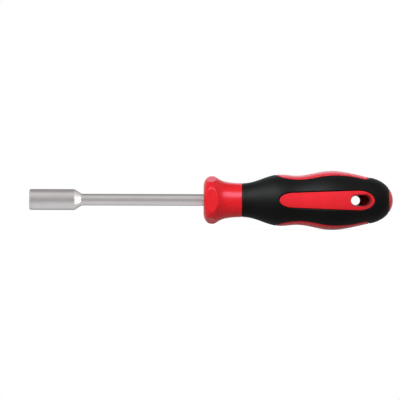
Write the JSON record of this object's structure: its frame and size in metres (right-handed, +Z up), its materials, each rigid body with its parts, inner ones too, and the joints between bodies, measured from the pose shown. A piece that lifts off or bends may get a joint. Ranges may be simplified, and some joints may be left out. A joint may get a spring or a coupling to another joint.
{
  "type": "nut driver",
  "caption": "Nut driver: a hex socket forged on a round steel shank, in a hard plastic handle with a soft grip, inset panels, a flatted collar and a hanging hole.",
  "frame": {"origin": "centre of the tool's bounding box, on the tool's axis", "axes": "+X along the tool's axis from the socket's mouth to the handle's rear end, -Y along the hanging hole to the face that the picture shows, +Z up"},
  "size_m": [0.218, 0.0354, 0.0354],
  "materials": {
    "steel": "satin matt chrome plating",
    "core_plastic": "as moulded",
    "red_plastic": "smooth semi-gloss, fine texture on the panels",
    "black_rubber": "soft matt, finely grained"
  },
  "bodies": {
    "root": {"blade": "steel", "tang_core": "core_plastic", "handle_body": "red_plastic", "soft_grip": "black_rubber"}
  },
  "joints": []
}
